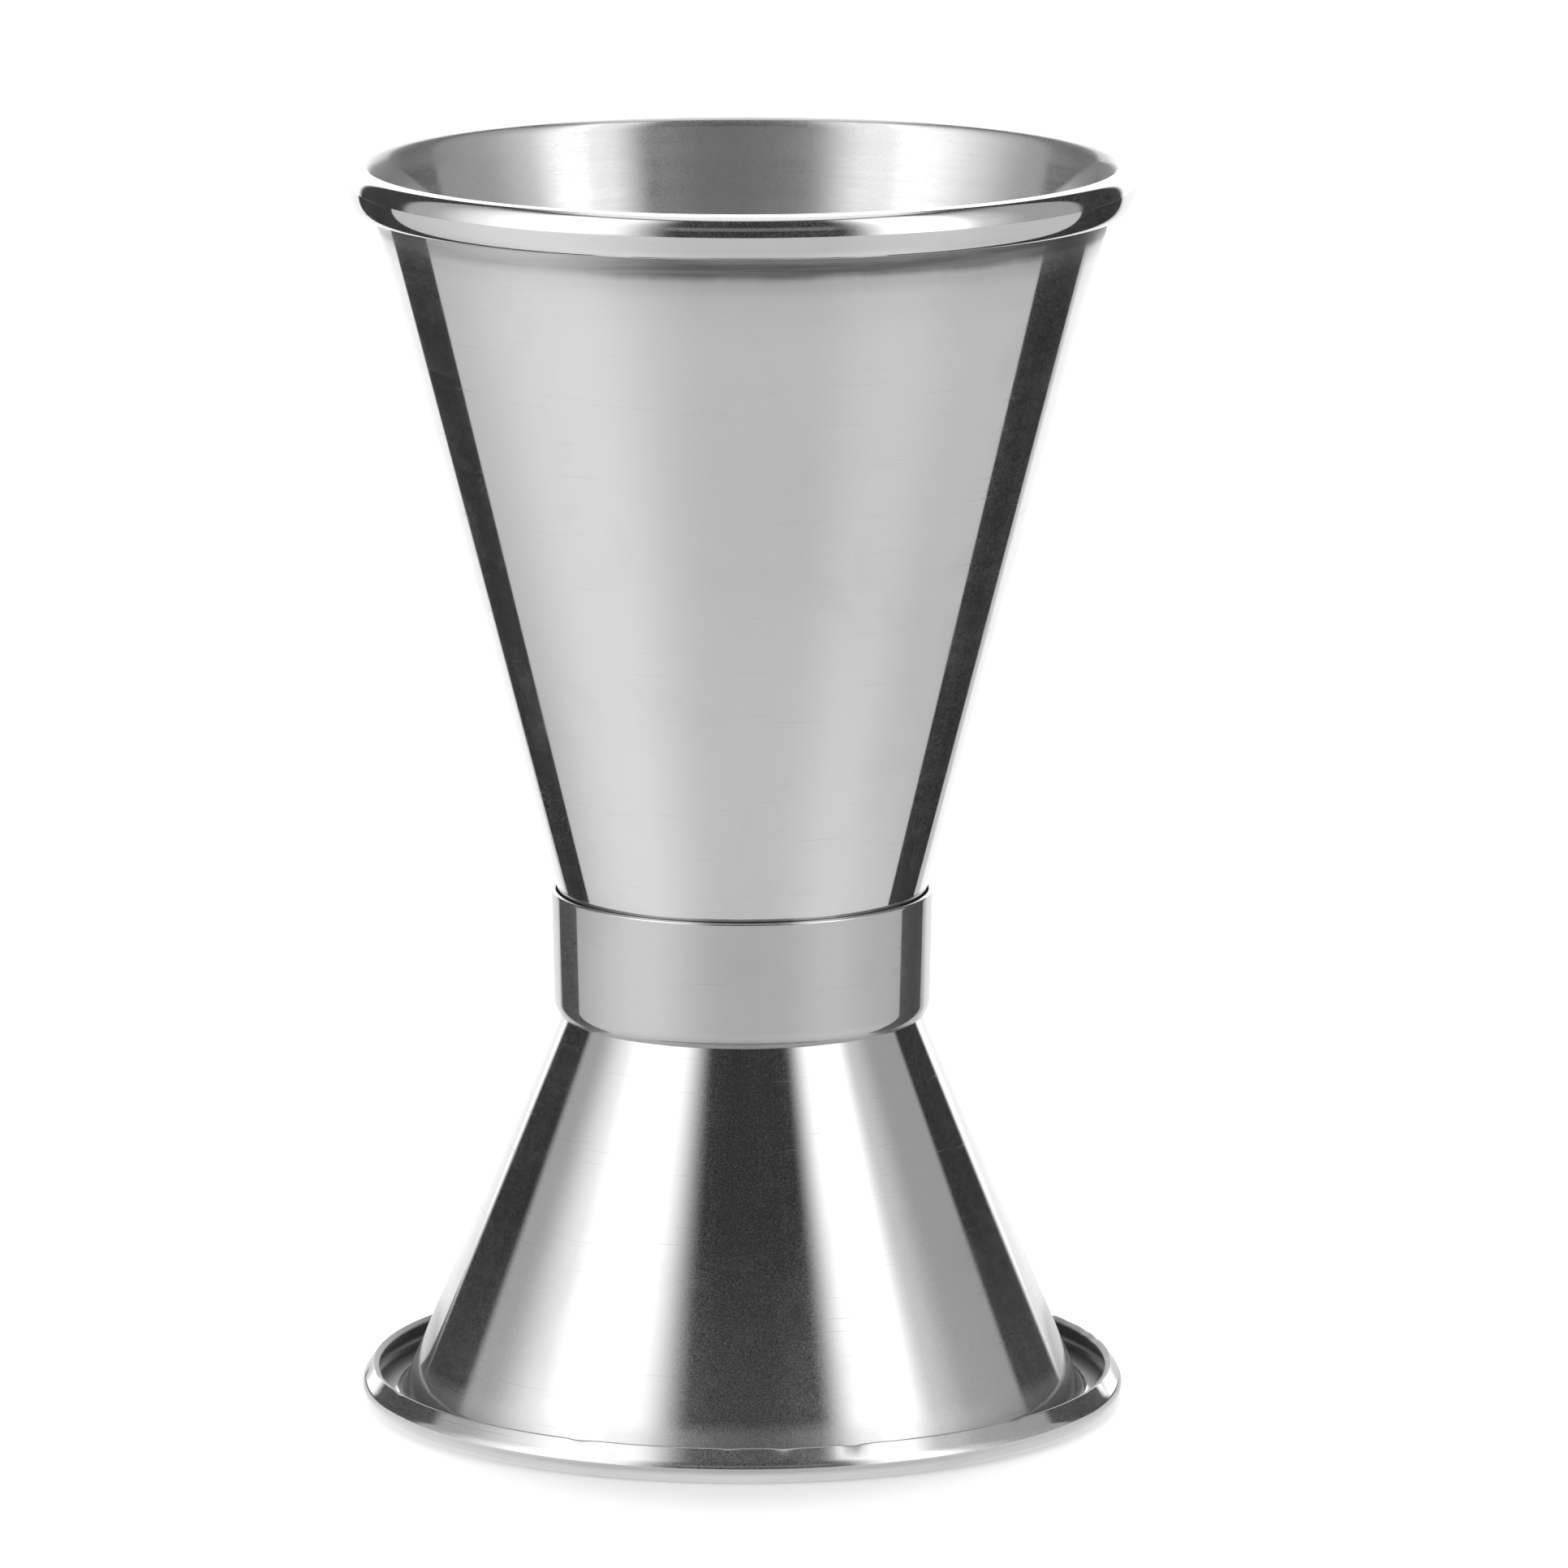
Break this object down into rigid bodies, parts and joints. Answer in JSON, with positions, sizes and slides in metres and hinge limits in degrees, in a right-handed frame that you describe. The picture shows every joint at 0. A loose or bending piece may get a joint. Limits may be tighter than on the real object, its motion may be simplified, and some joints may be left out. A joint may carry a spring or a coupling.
{
  "type": "bar jigger",
  "caption": "Double-ended steel bar jigger: a tall conical cup and a wider, shorter one joined base to base under a collar band, both mouths rolled.",
  "frame": {"origin": "on the axis, at the centre of the flat ring that the lower cup's mouth stands on", "axes": "+Z is the jigger's axis, from the small cup's mouth up to the large cup's mouth; every piece is turned round it, so X and Y are alike"},
  "size_m": [0.054, 0.054, 0.086],
  "materials": {
    "upper_steel": "mirror-polished stainless steel with faint handling smudges",
    "lower_steel": "mirror-polished stainless steel, a little scuffed round the foot",
    "collar_steel": "polished stainless steel, slightly softer shine than the cups",
    "weld_metal": "dull grey weld metal"
  },
  "bodies": {
    "root": {"upper_cup": "upper_steel", "lower_cup": "lower_steel", "collar_band": "collar_steel", "weld_nugget_1": "weld_metal", "weld_nugget_2": "weld_metal", "weld_nugget_3": "weld_metal"}
  },
  "joints": []
}
